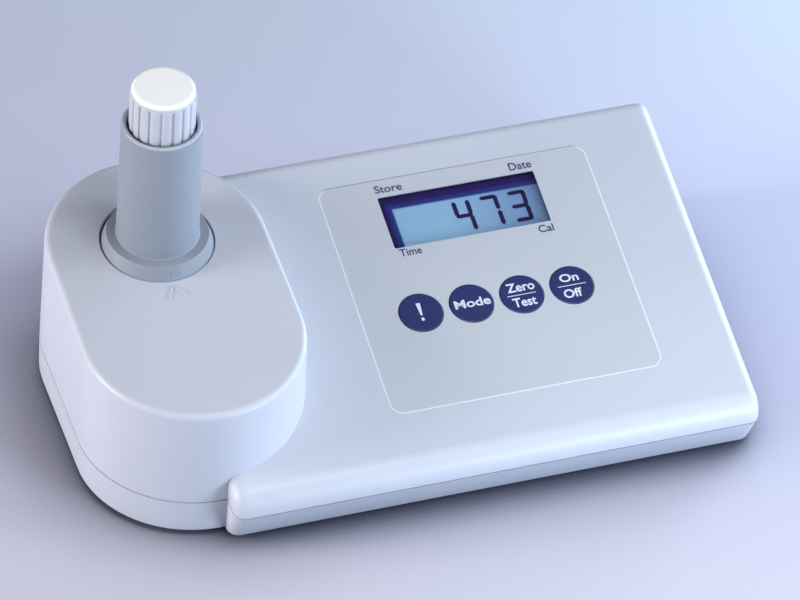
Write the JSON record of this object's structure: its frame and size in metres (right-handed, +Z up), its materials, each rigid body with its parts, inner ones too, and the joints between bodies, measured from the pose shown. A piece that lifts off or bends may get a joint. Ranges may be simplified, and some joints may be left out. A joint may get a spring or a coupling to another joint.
{
  "type": "chemical oxygen demand meter",
  "caption": "Bench photometer with a raised vial chamber at the left, a sloped console with display and round keys, and a grey tube holding a capped vial.",
  "frame": {"origin": "middle of the housing's footprint, on the table that the feet stand on", "axes": "+X along the length towards the display end, +Y to the back, +Z up"},
  "size_m": [0.19, 0.11, 0.1084],
  "materials": {
    "housing": "satin moulded shell, white with a cool cast",
    "seal": "matt black-grey seal",
    "overlay": "fine matt printed film",
    "key": "printed navy film with pale lettering",
    "lens": "clear window",
    "lcd": "grey-blue display glass",
    "backlight": "diffusing light plate",
    "bezel": "dark violet frame",
    "circuit_film": "polyester circuit film",
    "dome": "sprung steel",
    "board": "solder mask",
    "component": "moulded epoxy",
    "socket": "cream moulding",
    "chamber": "matt black moulding",
    "foam": "foam rubber",
    "filter": "coated filter glass",
    "lamp": "clear epoxy lens",
    "diode": "metal can",
    "adapter": "fine matt grey moulding",
    "vial": "clear glass",
    "cap": "white fluted moulding",
    "liner": "soft sealing disc",
    "cell": "cell jacket",
    "contact": "plated spring steel",
    "lead": "insulated lead",
    "screw": "zinc-plated steel",
    "foot": "matt rubber"
  },
  "bodies": {
    "housing": {"upper_shell": "housing", "base_shell": "housing", "shell_seal": "seal", "housing_screws": "screw", "rubber_feet": "foot", "keypad_overlay": "overlay", "keypad_circuit": "circuit_film", "snap_domes": "dome", "display_window": "lens", "lcd_glass": "lcd", "lcd_backlight": "backlight", "lcd_bezel": "bezel", "circuit_board": "board", "board_screws": "screw", "microcontroller": "component", "buzzer": "component", "keypad_connector": "socket", "sample_chamber": "chamber", "chamber_screws": "screw", "chamber_gasket": "foam", "interference_filter": "filter", "lamp_holder": "chamber", "light_diode": "lamp", "lamp_board": "board", "photodiode_holder": "chamber", "photodiode": "diode", "sensor_board": "board", "battery_cells": "cell", "battery_contacts": "contact", "battery_leads": "lead", "sensor_leads": "socket", "cover_seal": "seal"},
    "adapter": {"vial_adapter": "adapter"},
    "vial_body": {"vial": "vial"},
    "liner_body": {"cap_liner": "liner"},
    "cap_body": {"vial_cap": "cap"},
    "alert_key": {"key_alert": "key"},
    "mode_key": {"key_mode": "key"},
    "zero_test_key": {"key_zero_test": "key"},
    "on_off_key": {"key_on_off": "key"},
    "cover_body": {"battery_cover": "housing", "cover_screws": "screw"}
  },
  "joints": [
    {"name": "adapter_lift", "type": "slide", "parent": "housing", "child": "adapter", "axis": [0, 0, 1], "range_m": [0, 0.055]},
    {"name": "vial_lift", "type": "slide", "parent": "adapter", "child": "vial_body", "axis": [0, 0, 1], "range_m": [0, 0.095]},
    {"name": "cap_lift", "type": "slide", "parent": "vial_body", "child": "liner_body", "axis": [0, 0, 1], "range_m": [0, 0.00675]},
    {"name": "cap_turn", "type": "hinge", "parent": "liner_body", "child": "cap_body", "pos_m": [-0.0625, 0.0225, 0.1], "axis": [0, 0, 1], "range_deg": [0, 811]},
    {"name": "alert_press", "type": "slide", "parent": "housing", "child": "alert_key", "axis": [0, 0.225, -0.9744], "range_m": [0, 0.0003], "stiffness_N_per_m": 500},
    {"name": "mode_press", "type": "slide", "parent": "housing", "child": "mode_key", "axis": [0, 0.225, -0.9744], "range_m": [0, 0.0003], "stiffness_N_per_m": 500},
    {"name": "zero_test_press", "type": "slide", "parent": "housing", "child": "zero_test_key", "axis": [0, 0.225, -0.9744], "range_m": [0, 0.0003], "stiffness_N_per_m": 500},
    {"name": "on_off_press", "type": "slide", "parent": "housing", "child": "on_off_key", "axis": [0, 0.225, -0.9744], "range_m": [0, 0.0003], "stiffness_N_per_m": 500},
    {"name": "cover_open", "type": "slide", "parent": "housing", "child": "cover_body", "axis": [0, 0, -1], "range_m": [0, 0.02]}
  ],
  "couplings": [
    {"joint": "cap_turn", "follows": "cap_lift", "rad_per_m": 2094.4}
  ]
}
